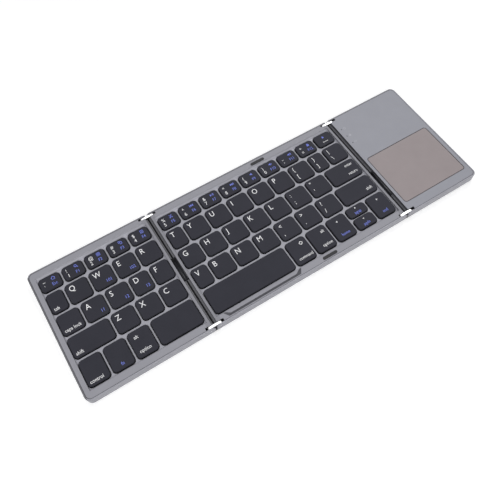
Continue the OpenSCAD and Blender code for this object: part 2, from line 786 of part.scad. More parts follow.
// Two crossed arms under a cap of width w and depth d; the inner one turns on stubs in the outer one
module scissor_lift(w, d) {
    outer_w = min(scissor_w, w - 2 * cap_wall - 2 * lift_play);
    l = min(scissor_len, d - 2 * cap_wall - lift_play);
    tilt = asin((dome_h - scissor_thick) / l);
    inner_w = outer_w - 2 * scissor_bar - 2 * scissor_gap;
    translate([0, 0, dome_z + (dome_h + dome_play) / 2]) {
        difference() {
            scissor_arm(outer_w, l, tilt);
            rotate([0, 90, 0])
                cylinder(h = 2 * outer_w, r = stub_r + stub_play, center = true, $fn = 16);
        }
        scissor_arm(inner_w, l, -tilt);
        for (s = [-1, 1])
            translate([s * (outer_w / 2 - 3 * scissor_bar / 4 - scissor_gap), 0, 0])
                rotate([0, 90, 0])
                    cylinder(h = scissor_bar + scissor_gap, r = stub_r, center = true, $fn = 16);
    }
}

module scissors(keys) {
    color([0.85, 0.85, 0.82])
        for (k = keys)
            for (x = k[3] > two_lift_w ? [-k[3] / 4, k[3] / 4] : [0])
                translate([k[1] + x, k[2], foot_height])
                    scissor_lift(k[3], k[4]);
}

// Plate under the keys, with a slot each side of every dome where the lifts hook in
module key_plate(x0, x1, keys) {
    w = x1 - x0;
    d = 2 * (lug_in - plate_margin);
    color(steel)
        translate([0, 0, foot_height + floor_thick])
            linear_extrude(plate_thick)
                difference() {
                    translate([(x0 + x1) / 2, 0])
                        round_rect(w, d, plate_r);
                    for (k = keys, s = [-1, 1])
                        translate([k[1] + s * (dome_r + hook_from_dome), k[2]])
                            square([hook_w, hook_len], center = true);
                }
}

module membrane(x0, x1) {
    color([0.82, 0.84, 0.8])
        translate([(x0 + x1) / 2, 0, foot_height + membrane_z])
            linear_extrude(membrane_thick)
                round_rect(x1 - x0, 2 * (lug_in - plate_margin), plate_r);
}

module foot(x, y) {
    translate([x, y, 0]) {
        translate([0, 0, foot_height / 3])
            linear_extrude(foot_height * 2 / 3)
                stadium(foot_len, foot_w);
        linear_extrude(foot_height / 3)
            stadium(foot_len - 2 * foot_step, foot_w - 2 * foot_step);
    }
}

module stadium(len, w) {
    square([len - w, w], center = true);
    for (s = [-1, 1])
        translate([s * (len - w) / 2, 0])
            circle(w / 2, $fn = 32);
}

// Four feet under the panel between x0 and x1
module feet(x0, x1) {
    color(rubber_black)
        for (x = [x0 + foot_inset + foot_len / 2, x1 - foot_inset - foot_len / 2], s = [-1, 1])
            foot(x, s * (panel_depth / 2 - foot_inset));
}

// Link bars at front and back of a fold, each with a bore for either pin
module hinge_links(fold) {
    color(steel)
        for (side = [-1, 1])
            translate([fold, side * (slot_in + slot_out) / 2, foot_height + pin_z])
                rotate([90, 0, 0])
                    difference() {
                        linear_extrude(link_w, center = true)
                            stadium(pin_step + 2 * link_r, 2 * link_r);
                        for (s = [-1, 1])
                            translate([s * pin_step / 2, 0, 0])
                                cylinder(h = 2 * link_w, r = pin_r, center = true, $fn = 32);
                    }
}

module hinge_pins(fold) {
    pin_len = panel_depth / 2 - lug_in - pin_recess;
    color(steel)
        for (side = [-1, 1], s = [-1, 1])
            translate([fold + s * pin_step / 2, side * (lug_in + pin_len / 2), foot_height + pin_z])
                rotate([90, 0, 0])
                    cylinder(h = pin_len, r = pin_r, center = true, $fn = 32);
}

function arc(cx, cz, r, from, to, n) =
    [for (i = [0 : n]) let (a = from + (to - from) * i / n) [cx + r * cos(a), cz + r * sin(a)]];

// Right half of one side of a cable's loop, at distance t from its middle line
function loop_side(t) = concat(arc(0, -loop_drop, loop_half + t, 270, 360, 8),
    arc(loop_half + cable_bend, cable_rise - cable_bend, cable_bend - t, 180, 90, 5),
    [[pin_step / 2 - cable_end, cable_rise - t]]);

function mirrored(v) = [for (i = [len(v) - 1 : -1 : 0]) [-v[i][0], v[i][1]]];

// Flexible cable that dips in a loop between two panels and enters a slit in each
module flex_cable(fold, y, w) {
    inner = loop_side(-cable_thick / 2);
    outer = loop_side(cable_thick / 2);
    color(rubber_black)
        translate([fold, y + w / 2, foot_height + pin_z])
            rotate([90, 0, 0])
                linear_extrude(w)
                    polygon(concat(mirrored(outer), outer, [for (i = [len(inner) - 1 : -1 : 0]) inner[i]],
                        [for (p = inner) [-p[0], p[1]]]));
}

left_folds = [[left_pin, 1, left_cable_y, left_cable_w]];
centre_folds = [[centre_left_pin, -1, left_cable_y, left_cable_w],
    [centre_right_pin, 1, right_cable_y, right_cable_w]];
right_folds = [[right_pin, -1, right_cable_y, right_cable_w]];

module centre_shell() {
    color(metal)
        translate([0, 0, foot_height])
            shell(centre_left_pin, centre_right_pin, true, true, centre_folds);
}

module bumper_places() {
    for (y = [bumper_from_front - panel_depth / 2, panel_depth / 2 - bumper_from_back])
        translate([meet_x, y])
            children();
}

module magnet_place() {
    translate([centre_right_pin - block_reach - magnet_r - magnet_from_block,
        panel_depth / 2 - magnet_from_back, deck_under])
        children();
}

module centre_frame() {
    color(frame_grey)
        translate([0, 0, foot_height])
            difference() {
                frame_blank(centre_left_pin, centre_right_pin, true, true, centre_folds, deck_under);
                key_deck(centre_keys, centre_field_x, centre_field_w, deck_side);
                thumb_scoop();
                translate([0, 0, panel_thick - bumper_deep])
                    linear_extrude(2 * bumper_deep)
                        bumper_places()
                            stadium(bumper_len, bumper_w);
                magnet_place()
                    translate([0, 0, -over])
                        cylinder(h = magnet_thick + over, r = magnet_r, $fn = 32);
            }
}

module centre_key_plate() key_plate(centre_left_pin - end_wall_from + plate_margin,
    centre_right_pin + end_wall_from - plate_margin, centre_keys);

module centre_membrane() membrane(centre_left_pin, centre_right_pin);

module centre_domes() domes(centre_keys);

module centre_scissors() scissors(centre_keys);

module centre_feet() feet(centre_left_pin, centre_right_pin);

module centre_bumpers() {
    color(rubber_black)
        translate([0, 0, foot_height + panel_thick - bumper_deep])
            linear_extrude(bumper_deep + bumper_proud)
                bumper_places()
                    stadium(bumper_len, bumper_w);
}

module sleep_magnet() {
    color(steel)
        translate([0, 0, foot_height])
            magnet_place()
                cylinder(h = magnet_thick, r = magnet_r, $fn = 32);
}

module left_shell() {
    color(metal)
        translate([0, 0, foot_height])
            shell(left_end, left_pin, false, true, left_folds);
}

module left_frame() {
    color(frame_grey)
        translate([0, 0, foot_height])
            difference() {
                frame_blank(left_end, left_pin, false, true, left_folds, deck_under);
                key_deck(left_keys, left_field_x, left_field_w, window_play);
            }
}

module left_key_plate() key_plate(left_end + shell_wall + seam + skirt_wall + plate_margin,
    left_pin + end_wall_from - plate_margin, left_keys);

module left_membrane() membrane(left_end + shell_wall + seam + skirt_wall + plate_margin, left_pin);

module left_domes() domes(left_keys);

module left_scissors() scissors(left_keys);

module left_feet() feet(left_end, left_pin);

module post_places() {
    for (x = [-1, 1], y = [-1, 1])
        translate([main_x + x * (main_w / 2 - post_inset), main_y + y * (main_d / 2 - post_inset), 0])
            children();
}

// Plan of the charging socket's outside, seen along the depth
module socket_plan(grow) {
    translate([socket_x, socket_z])
        stadium(socket_w + 2 * grow, socket_h + 2 * grow);
}

module right_shell() {
    color(metal)
        translate([0, 0, foot_height]) {
            difference() {
                shell(right_pin, right_end, true, false, right_folds);
                translate([0, panel_depth / 2 + over, 0])
                    rotate([90, 0, 0])
                        linear_extrude(shell_wall + 2 * over)
                            socket_plan(seam);
            }
            post_places() {
                cylinder(h = main_z, r = post_r, $fn = 32);
                cylinder(h = main_z + board_thick, r = peg_r, $fn = 32);
            }
        }
}

module light_places() {
    for (i = [0 : 2])
        translate([right_pin + light_from_axis, panel_depth / 2 - light_from_back - i * light_step, 0])
            children();
}

module right_cover() {
    color(frame_grey)
        translate([0, 0, foot_height])
            difference() {
                frame_blank(right_pin, right_end, true, false, right_folds, cover_under);
                translate([pad_x, pad_y, cover_under - over])
                    linear_extrude(cover_thick + 2 * over)
                        round_rect(pad_w + 2 * pad_play, pad_d + 2 * pad_play, pad_r + pad_play);
                light_places()
                    cylinder(h = 2 * panel_thick, r = light_r + light_play, $fn = 24);
                translate([0, panel_depth / 2, 0])
                    rotate([90, 0, 0])
                        linear_extrude(shell_wall + seam + skirt_wall + over)
                            socket_plan(seam);
            }
}

module touchpad() {
    color(pad_brown)
        translate([pad_x, pad_y, foot_height + cover_under])
            linear_extrude(cover_thick - pad_sink)
                round_rect(pad_w, pad_d, pad_r);
}

module touchpad_board() {
    color(board_green)
        translate([pad_x, pad_y, foot_height + cover_under - board_thick])
            linear_extrude(board_thick)
                round_rect(pad_w + 2 * board_lip, pad_d + 2 * board_lip, pad_r);
}

module main_board() {
    color(board_green)
        translate([0, 0, foot_height + main_z]) {
            difference() {
                translate([main_x, main_y, 0])
                    linear_extrude(board_thick)
                        round_rect(main_w, main_d, main_r);
                post_places()
                    translate([0, 0, -over])
                        cylinder(h = board_thick + 2 * over, r = peg_r + peg_play, $fn = 32);
            }
            translate([main_x, main_y - main_d / 8, board_thick])
                linear_extrude(chip_thick)
                    square(chip_w, center = true);
            translate([main_x + main_w / 2 - post_inset - 2 * post_r - radio_w / 2, main_y, board_thick])
                linear_extrude(radio_thick)
                    square([radio_w, radio_d], center = true);
        }
}

module battery() {
    color([0.7, 0.72, 0.76])
        translate([pad_x, pad_y, foot_height + floor_thick])
            linear_extrude(battery_thick)
                round_rect(pad_w - 2 * battery_inset, pad_d - 2 * battery_inset, battery_r);
}

// Socket shell with its contact tongue, open towards the back
module charging_socket() {
    color(steel)
        translate([0, panel_depth / 2 - socket_recess, foot_height])
            rotate([90, 0, 0]) {
                difference() {
                    linear_extrude(socket_len)
                        socket_plan(0);
                    translate([0, 0, -over])
                        linear_extrude(socket_len - socket_sheet + over)
                            socket_plan(-socket_sheet);
                }
                translate([socket_x, socket_z, (socket_len + tongue_recess) / 2])
                    cube([socket_w - 2 * tongue_side, tongue_thick, socket_len - tongue_recess],
                        center = true);
            }
}

module status_lights() {
    low = main_z + board_thick;
    color([0.9, 0.95, 1])
        light_places()
            translate([0, 0, foot_height]) {
                translate([0, 0, low])
                    cylinder(h = panel_thick - low, r = light_r, $fn = 24);
                translate([0, 0, low])
                    cylinder(h = cover_under - low, r = light_r + light_flange, $fn = 24);
            }
}

module right_feet() feet(right_pin, right_end);

module left_hinge_links() hinge_links(left_fold);

module left_hinge_pins() hinge_pins(left_fold);

module left_flex_cable() flex_cable(left_fold, left_cable_y, left_cable_w);

module right_hinge_links() hinge_links(right_fold);

module right_hinge_pins() hinge_pins(right_fold);

module right_flex_cable() flex_cable(right_fold, right_cable_y, right_cable_w);

centre_shell();
centre_frame();
centre_key_plate();
centre_membrane();
centre_domes();
centre_scissors();
centre_feet();
centre_bumpers();
sleep_magnet();
left_shell();
left_frame();
left_key_plate();
left_membrane();
left_domes();
left_scissors();
left_feet();
right_shell();
right_cover();
touchpad();
touchpad_board();
main_board();
battery();
charging_socket();
status_lights();
right_feet();
left_hinge_links();
left_hinge_pins();
left_flex_cable();
right_hinge_links();
right_hinge_pins();
right_flex_cable();
caps(left_keys, "esc_key");  // esc_key
caps(left_keys, "left_digit_keys");  // left_digit_keys
caps(left_keys, "tab_key");  // tab_key
caps(left_keys, "left_upper_keys");  // left_upper_keys
caps(left_keys, "caps_key");  // caps_key
caps(left_keys, "left_home_keys");  // left_home_keys
caps(left_keys, "left_shift_key");  // left_shift_key
caps(left_keys, "left_lower_keys");  // left_lower_keys
caps(left_keys, "control_key");  // control_key
caps(left_keys, "fn_key");  // fn_key
caps(left_keys, "left_option_key");  // left_option_key
caps(left_keys, "left_space_key");  // left_space_key
caps(centre_keys, "digit_keys_5_to_8");  // digit_keys_5_to_8
caps(centre_keys, "digit_keys_9_to_plus");  // digit_keys_9_to_plus
caps(centre_keys, "backspace_key");  // backspace_key
caps(centre_keys, "upper_keys_t_to_i");  // upper_keys_t_to_i
caps(centre_keys, "upper_keys_o_to_bracket");  // upper_keys_o_to_bracket
caps(centre_keys, "backslash_key");  // backslash_key
caps(centre_keys, "centre_home_keys");  // centre_home_keys
caps(centre_keys, "enter_key");  // enter_key
caps(centre_keys, "centre_lower_keys");  // centre_lower_keys
caps(centre_keys, "right_shift_key");  // right_shift_key
caps(centre_keys, "right_space_key");  // right_space_key
caps(centre_keys, "command_key");  // command_key
caps(centre_keys, "right_option_key");  // right_option_key
caps(centre_keys, "left_arrow_key");  // left_arrow_key
caps(centre_keys, "up_arrow_key");  // up_arrow_key
caps(centre_keys, "down_arrow_key");  // down_arrow_key
caps(centre_keys, "right_arrow_key");  // right_arrow_key
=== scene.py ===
import math

import bmesh
import bpy
from mathutils import Matrix, Vector


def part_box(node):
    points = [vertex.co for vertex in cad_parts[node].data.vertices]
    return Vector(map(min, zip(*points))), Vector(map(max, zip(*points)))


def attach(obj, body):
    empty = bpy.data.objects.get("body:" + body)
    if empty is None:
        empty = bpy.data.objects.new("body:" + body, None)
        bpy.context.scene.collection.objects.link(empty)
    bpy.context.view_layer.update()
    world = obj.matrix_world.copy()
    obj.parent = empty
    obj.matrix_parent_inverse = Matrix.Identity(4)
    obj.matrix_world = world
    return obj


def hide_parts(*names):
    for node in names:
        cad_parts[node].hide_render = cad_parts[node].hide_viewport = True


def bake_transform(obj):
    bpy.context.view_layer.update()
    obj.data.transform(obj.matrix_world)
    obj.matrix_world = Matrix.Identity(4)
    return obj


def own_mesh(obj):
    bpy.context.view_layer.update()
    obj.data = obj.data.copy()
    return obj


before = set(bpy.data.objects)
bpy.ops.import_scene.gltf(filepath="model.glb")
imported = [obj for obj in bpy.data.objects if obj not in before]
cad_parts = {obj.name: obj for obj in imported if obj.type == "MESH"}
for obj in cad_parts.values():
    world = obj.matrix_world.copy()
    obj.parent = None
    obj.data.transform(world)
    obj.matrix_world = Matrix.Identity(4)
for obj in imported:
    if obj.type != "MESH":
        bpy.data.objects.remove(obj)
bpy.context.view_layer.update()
MM = 0.001


# Colours

def srgb(r, g, b):
    """Linear colour of an 8-bit screen colour."""
    out = []
    for v in (r, g, b):
        v /= 255.0
        out.append(v / 12.92 if v <= 0.04045 else ((v + 0.055) / 1.055) ** 2.4)
    return (*out, 1.0)


def scaled(colour, k):
    return (colour[0] * k, colour[1] * k, colour[2] * k, 1.0)


# Node trees

class Nodes:
    """Small builder for a material's node tree, with object coordinates in millimetres."""

    def __init__(self, name):
        self.mat = bpy.data.materials.new(name)
        self.mat.use_nodes = True
        self.tree = self.mat.node_tree
        self.shader = self.tree.nodes["Principled BSDF"]
        self.coords = self.tree.nodes.new("ShaderNodeTexCoord")

    def add(self, kind, **sockets):
        n = self.tree.nodes.new(kind)
        for key, value in sockets.items():
            n.inputs[key.replace("_", " ")].default_value = value
        return n

    def link(self, a, b):
        self.tree.links.new(a, b)

    def space(self, stretch=(1, 1, 1)):
        """Object coordinates in millimetres, times stretch."""
        m = self.add("ShaderNodeMapping")
        m.inputs["Scale"].default_value = [s / MM for s in stretch]
        self.link(self.coords.outputs["Object"], m.inputs["Vector"])
        return m.outputs["Vector"]

    def noise(self, scale, detail=4.0, stretch=(1, 1, 1)):
        n = self.add("ShaderNodeTexNoise", Scale=scale, Detail=detail, Roughness=0.55)
        self.link(self.space(stretch), n.inputs["Vector"])
        return n.outputs["Fac"]

    def spread(self, fac, low, high, at=(0.3, 0.7)):
        """Maps fac from the range at to the range from low to high."""
        m = self.add("ShaderNodeMapRange", From_Min=at[0], From_Max=at[1], To_Min=low, To_Max=high)
        self.link(fac, m.inputs["Value"])
        return m.outputs["Result"]

    def mix(self, fac, a, b):
        m = self.tree.nodes.new("ShaderNodeMix")
        m.data_type = "RGBA"
        m.inputs["A"].default_value = a
        m.inputs["B"].default_value = b
        self.link(fac, m.inputs["Factor"])
        return m.outputs["Result"]

    def calc(self, operation, a, b=None):
        """A Math node; a and b are sockets or numbers."""
        m = self.tree.nodes.new("ShaderNodeMath")
        m.operation = operation
        for i, v in enumerate((a, b)):
            if isinstance(v, (int, float)):
                m.inputs[i].default_value = v
            elif v is not None:
                self.link(v, m.inputs[i])
        return m.outputs[0]

    def split(self, vector):
        n = self.tree.nodes.new("ShaderNodeSeparateXYZ")
        self.link(vector, n.inputs[0])
        return n.outputs

    def within(self, x=None, y=None, z=None, away=None):
        """1 inside a box in object millimetres, 0 outside.

        Each side is (low, high), and away is y counted both ways."""
        axes = self.split(self.space())
        sides = [(axes["X"], x), (axes["Y"], y), (axes["Z"], z)]
        if away:
            sides.append((self.calc("ABSOLUTE", axes["Y"]), away))
        out = None
        for value, span in sides:
            if span is None:
                continue
            middle, half = (span[0] + span[1]) / 2, (span[1] - span[0]) / 2
            off = self.calc("ABSOLUTE", self.calc("SUBTRACT", value, middle))
            inside = self.calc("LESS_THAN", off, half)
            out = inside if out is None else self.calc("MULTIPLY", out, inside)
        return out

    def tone(self, fac, k):
        """Multiplies the base colour by k where fac is 1, which paints light or shade."""
        base = self.shader.inputs["Base Color"]
        m = self.tree.nodes.new("ShaderNodeMix")
        m.data_type = "RGBA"
        m.blend_type = "MULTIPLY"
        m.clamp_result = False
        self.link(base.links[0].from_socket, m.inputs["A"])
        m.inputs["B"].default_value = (k, k, k, 1)
        self.link(fac, m.inputs["Factor"])
        self.link(m.outputs["Result"], base)

    def bump(self, fac, strength, depth):
        """Height from fac, depth millimetres deep."""
        b = self.add("ShaderNodeBump", Strength=strength, Distance=depth * MM)
        self.link(fac, b.inputs["Height"])
        self.link(b.outputs["Normal"], self.shader.inputs["Normal"])


def surface_nodes(name, colour, rough, spread=0.05, rough_spread=0.06, metallic=0.0, grain=6.0, depth=0.01,
                  strength=0.35, specular=0.5, tint=(1, 1, 1, 1), stretch=(1, 1, 1), tones=()):
    """A moulded or machined surface: fine grain in colour, gloss and height over a slow drift in colour.

    Each painted light or shade is a box in object millimetres and the factor of the colour inside it."""
    n = Nodes(name)
    s = n.shader.inputs
    s["Metallic"].default_value = metallic
    s["Specular IOR Level"].default_value = specular
    s["Specular Tint"].default_value = tint
    fine = n.noise(grain, stretch=stretch)
    slow = n.noise(0.08, detail=2.0)
    drift = n.calc("ADD", n.spread(fine, -0.5, 0.5), n.spread(slow, 0.2, 0.8))
    n.link(n.mix(drift, scaled(colour, 1 - spread), scaled(colour, 1 + spread)), s["Base Color"])
    n.link(n.spread(fine, rough - rough_spread, rough + rough_spread), s["Roughness"])
    n.bump(fine, strength, depth)
    for box, k in tones:
        n.tone(n.within(**box), k)
    return n


def surface(*args, **options):
    """The material of surface_nodes, for the surfaces that need nothing more."""
    return surface_nodes(*args, **options).mat


def brushed(name, colour, rough, tones=()):
    """Bright steel with fine lines along its length."""
    return surface(name, colour, rough, rough_spread=0.05, spread=0.06, metallic=1.0, grain=3.0, depth=0.006,
                   strength=0.3, stretch=(0.15, 3, 3), tones=tones)


# Places on the keyboard in millimetres, from the frame

def corners(node):
    return [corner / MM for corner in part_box(node)]


# Gap between the noses of two panels, whose middle is the fold
NOSE_GAP = 0.9
LEFT_SHELL, RIGHT_SHELL = corners("left_shell"), corners("right_shell")
LEFT_END, RIGHT_END = LEFT_SHELL[0].x, RIGHT_SHELL[1].x
BACK, TOP = LEFT_SHELL[1].y, LEFT_SHELL[1].z
FOLDS = [LEFT_SHELL[1].x + NOSE_GAP / 2, RIGHT_SHELL[0].x - NOSE_GAP / 2]


# Painted light and shade: a box, and how much of the colour is left inside it

def beside_folds(reach, k, **box):
    """The same painted shade round both folds, as far as reach on each side."""
    return [(dict(x=(fold - reach, fold + reach), **box), k) for fold in FOLDS]


# Painted shade in the links' slots: from the lug to the wall, and from over the floor to just under the top
SLOT_REACH, SLOT_IN, SLOT_OUT, SLOT_LOW, SLOT_HIGH = 6.68, 45.4, 47.45, 1.45, 7.56
SLOT_SHADE = beside_folds(SLOT_REACH, 0.07, away=(SLOT_IN, SLOT_OUT), z=(SLOT_LOW, SLOT_HIGH))
# Painted shade on the panels' noses between the outer ears, and on the frames' lips over them
NOSE_REACH, EAR_IN = 3.55, 47.38
NOSE_SHADE = beside_folds(NOSE_REACH, 0.3, away=(0, EAR_IN))
LIP_REACH, LIP_TOP = 2.2, 7.5
LIP_SHADE = beside_folds(LIP_REACH, 0.3, z=(0, LIP_TOP))
# Painted shade on the frames' rims beside the folds
RIM_REACH = 5.2
RIM_SHADE = beside_folds(RIM_REACH, 0.82)
# Painted shade on the middle of the links, below their tops
LINK_REACH, LINK_TOP = 2.7, 6.4
LINK_SHADE = beside_folds(LINK_REACH, 0.12, z=(0, LINK_TOP))
# Painted light: the sunken deck brightened, and its strip behind the caps brightened further
DECK_FRONT, DECK_BACK, DECK_TOP, BEHIND_CAPS = -41.8, 47.0, 7.0, 40.0
DECK_LIGHT = [(dict(y=(DECK_FRONT, DECK_BACK), z=(0, DECK_TOP)), 1.27),
             (dict(y=(BEHIND_CAPS, DECK_BACK), z=(0, DECK_TOP)), 1.13)]
# Painted dark reflection on the top edge of the wall, at the left end and along the back
EDGE_W, EDGE_H, MARGIN = 1.05, 0.7, 0.1
EDGE_Z = (TOP - EDGE_H, TOP + MARGIN)
LEFT_EDGE = dict(x=(LEFT_END - MARGIN, LEFT_END + EDGE_W), z=EDGE_Z)
BACK_EDGE = dict(x=(LEFT_END + EDGE_W, RIGHT_END + MARGIN), y=(BACK - EDGE_W, BACK + MARGIN), z=EDGE_Z)
EDGE_SHADE = [(LEFT_EDGE, 0.4), (BACK_EDGE, 0.68)]


# Materials of the CAD pieces

GREY = srgb(147, 147, 155)
# Painted shade on the shell's noses, in the slots and on the wall's top edge
metal = surface("shell_aluminium", GREY, 0.42, metallic=0.15, grain=9.0, depth=0.006, spread=0.04,
                tones=NOSE_SHADE + SLOT_SHADE + EDGE_SHADE)
# Painted light on the frame's deck, and painted shade on its rims, lips and slots by the folds
moulded = surface("frame_satin", GREY, 0.5, grain=7.0, depth=0.008, spread=0.035,
                  tones=DECK_LIGHT + RIM_SHADE + LIP_SHADE + SLOT_SHADE)
# Painted shade on the cover's lip and slots by the fold
cover = surface("cover_satin", srgb(147, 148, 157), 0.47, grain=7.0, depth=0.008, spread=0.035,
                tones=LIP_SHADE + SLOT_SHADE)
rubber = surface("rubber_black", srgb(34, 34, 37), 0.7, grain=4.0, depth=0.02, spread=0.15)
# Painted shade on the links below their tops
chrome = brushed("link_chrome", (0.92, 0.92, 0.93, 1), 0.28, tones=LINK_SHADE)
pin_steel = brushed("pin_steel", (0.6, 0.6, 0.62, 1), 0.28)
plate = brushed("plate_steel", (0.52, 0.53, 0.55, 1), 0.35)
film = surface("membrane_film", srgb(190, 194, 186), 0.35, grain=2.0, depth=0.01)
lift = surface("lift_plastic", srgb(222, 222, 214), 0.45, grain=5.0)
pad = surface("touchpad_satin", srgb(148, 138, 139), 0.5, grain=8.0, depth=0.006, spread=0.045)
foil = surface("battery_foil", (0.55, 0.56, 0.58, 1), 0.32, metallic=1.0, grain=1.2, depth=0.05,
               strength=0.5)
guide = surface("light_window", srgb(74, 76, 84), 0.3, grain=6.0)


def cap_material():
    """Matte cap whose bevel and sides are darkened the steeper they stand, as painted shade."""
    n = surface_nodes("cap_black", srgb(47, 47, 54), 0.5, grain=5.0, depth=0.012, spread=0.1, specular=0.16,
                      tint=(0.86, 0.88, 1, 1))
    upward = n.split(n.coords.outputs["Normal"])["Z"]
    # Painted shade: faces turned away from up are darkened, down to a tenth
    n.tone(n.spread(upward, 1.0, 0.0, at=(0.35, 0.95)), 0.1)
    return n.mat


def board_material():
    """Green board with paler tracks."""
    n = Nodes("board_green")
    s = n.shader.inputs
    tracks = n.add("ShaderNodeTexBrick", Scale=0.45, Mortar_Size=0.06, Brick_Width=1.6, Row_Height=0.35)
    n.link(n.space(), tracks.inputs["Vector"])
    n.link(n.mix(tracks.outputs["Fac"], srgb(16, 66, 36), srgb(30, 96, 54)), s["Base Color"])
    s["Roughness"].default_value = 0.35
    n.bump(tracks.outputs["Fac"], 0.4, 0.03)
    return n.mat


key_black = cap_material()
board = board_material()


def dress(mat, *names):
    """Gives CAD nodes their material."""
    for name in names:
        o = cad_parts[name]
        o.data.materials.clear()
        o.data.materials.append(mat)


KEY_NODES = [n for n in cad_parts
             if n.endswith(("_key", "_keys")) or n.startswith(("digit_keys", "upper_keys"))]
dress(metal, "centre_shell", "left_shell", "right_shell")
dress(moulded, "centre_frame", "left_frame")
dress(cover, "right_cover")
dress(key_black, *KEY_NODES)
dress(rubber, "centre_feet", "left_feet", "right_feet", "centre_bumpers", "centre_domes", "left_domes")
dress(chrome, "left_hinge_links", "right_hinge_links", "sleep_magnet")
dress(pin_steel, "left_hinge_pins", "right_hinge_pins", "charging_socket")
dress(plate, "centre_key_plate", "left_key_plate")
dress(film, "centre_membrane", "left_membrane")
dress(lift, "centre_scissors", "left_scissors")
dress(pad, "touchpad")
dress(board, "touchpad_board", "main_board")
dress(foil, "battery")
dress(guide, "status_lights")


# Materials of the pieces that are made here

def cable_material():
    """Black film with the faint ribs of its tracks, which run across the fold."""
    n = Nodes("cable_film")
    s = n.shader.inputs
    ribs = n.add("ShaderNodeTexWave", Scale=0.32, Distortion=0.0)
    ribs.bands_direction = "Y"
    n.link(n.space(), ribs.inputs["Vector"])
    n.link(n.mix(ribs.outputs["Fac"], srgb(36, 36, 40), srgb(62, 62, 68)), s["Base Color"])
    n.link(n.spread(n.noise(3.0), 0.36, 0.5), s["Roughness"])
    n.bump(ribs.outputs["Fac"], 0.35, 0.04)
    return n.mat


def ink(name, colour):
    """Thin print, a little uneven."""
    n = Nodes(name)
    s = n.shader.inputs
    n.link(n.mix(n.spread(n.noise(14.0), 0.0, 1.0), scaled(colour, 0.9), colour), s["Base Color"])
    s["Roughness"].default_value = 0.55
    return n.mat


cable = cable_material()
# Painted shade: a darker grey for the scoop's slope, which faces away from the key light
scoop_satin = surface("scoop_satin", srgb(86, 86, 92), 0.55, grain=7.0, depth=0.008, spread=0.035)
# Painted shade: the near-black of the strips that fill the folds
spine_black = surface("spine_black", srgb(22, 22, 25), 0.55, grain=4.0, depth=0.02, spread=0.15,
                      specular=0.3)
white_ink = ink("ink_white", srgb(250, 250, 252))
blue_ink = ink("ink_blue", srgb(118, 132, 228))
faint_ink = ink("ink_faint", srgb(178, 178, 186))
dark_ink = ink("ink_dark", srgb(48, 44, 46))
seam_dark = ink("seam_dark", srgb(30, 30, 33))


# Pieces made from points and faces

def new_piece(name, verts, faces, *mats):
    mesh = bpy.data.meshes.new(name)
    mesh.from_pydata(verts, [], faces)
    for mat in mats:
        mesh.materials.append(mat)
    mesh.update()
    o = bpy.data.objects.new(name, mesh)
    bpy.context.collection.objects.link(o)
    return o


class Marks:
    """Flat marks at their places, gathered into one mesh."""

    # Letters are drawn this much narrower than the font's, and their strokes swell by a share of their size
    NARROW, SWELL = 0.88, 0.003

    def __init__(self):
        self.verts, self.faces, self.inks = [], [], []

    def polygon(self, points, z, ink_slot=0):
        first = len(self.verts)
        self.verts += [(x, y, z) for x, y in points]
        self.faces.append(list(range(first, first + len(points))))
        self.inks.append(ink_slot)

    def text(self, words, x, y, z, size, ink_slot, align):
        curve = bpy.data.curves.new("words", "FONT")
        curve.body = words
        curve.size = size
        curve.align_x = align
        curve.align_y = "BOTTOM_BASELINE"
        curve.resolution_u = 3
        curve.offset = size * self.SWELL
        o = bpy.data.objects.new("words", curve)
        bpy.context.collection.objects.link(o)
        bpy.context.view_layer.update()
        mesh = bpy.data.meshes.new_from_object(o.evaluated_get(bpy.context.evaluated_depsgraph_get()))
        first = len(self.verts)
        self.verts += [(v.co.x * self.NARROW + x, v.co.y + y, z) for v in mesh.vertices]
        for p in mesh.polygons:
            self.faces.append([first + v for v in p.vertices])
            self.inks.append(ink_slot)
        bpy.data.objects.remove(o)
        bpy.data.curves.remove(curve)
        bpy.data.meshes.remove(mesh)

    def icon(self, name, x, y, z, size, ink_slot=0):
        for shape in ICONS[name]:
            self.polygon([(x + px * size, y + py * size) for px, py in shape], z, ink_slot)

    def build(self, name, body, mats):
        o = new_piece(name, self.verts, self.faces, *mats)
        for p, ink_slot in zip(o.data.polygons, self.inks):
            p.material_index = ink_slot
            if p.normal.z < 0:
                p.flip()
        o.data.update()
        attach(o, body)


# Icons in a field about 2 wide and 2 high, about their middle

STROKE = 0.28


def ring(cx, cy, r, w=STROKE, n=12, start=0.0, sweep=2 * math.pi):
    """Strips that form a ring or an arc of stroke width w."""
    out = []
    for i in range(n):
        a, b = start + sweep * i / n, start + sweep * (i + 1) / n
        out.append([(cx + (r + s * w / 2) * math.cos(t), cy + (r + s * w / 2) * math.sin(t))
                    for t, s in ((a, 1), (b, 1), (b, -1), (a, -1))])
    return out


def bar(x0, y0, x1, y1, w=STROKE):
    """A straight stroke of width w."""
    dx, dy = x1 - x0, y1 - y0
    d = math.hypot(dx, dy)
    px, py = -dy / d * w / 2, dx / d * w / 2
    return [(x0 + px, y0 + py), (x0 - px, y0 - py), (x1 - px, y1 - py), (x1 + px, y1 + py)]


def wave(r):
    """Sound wave of radius r to the right of a loudspeaker."""
    return ring(0, 0, r, n=5, start=-0.8, sweep=1.6)


def bars(*ends):
    return [bar(*four) for four in ends]


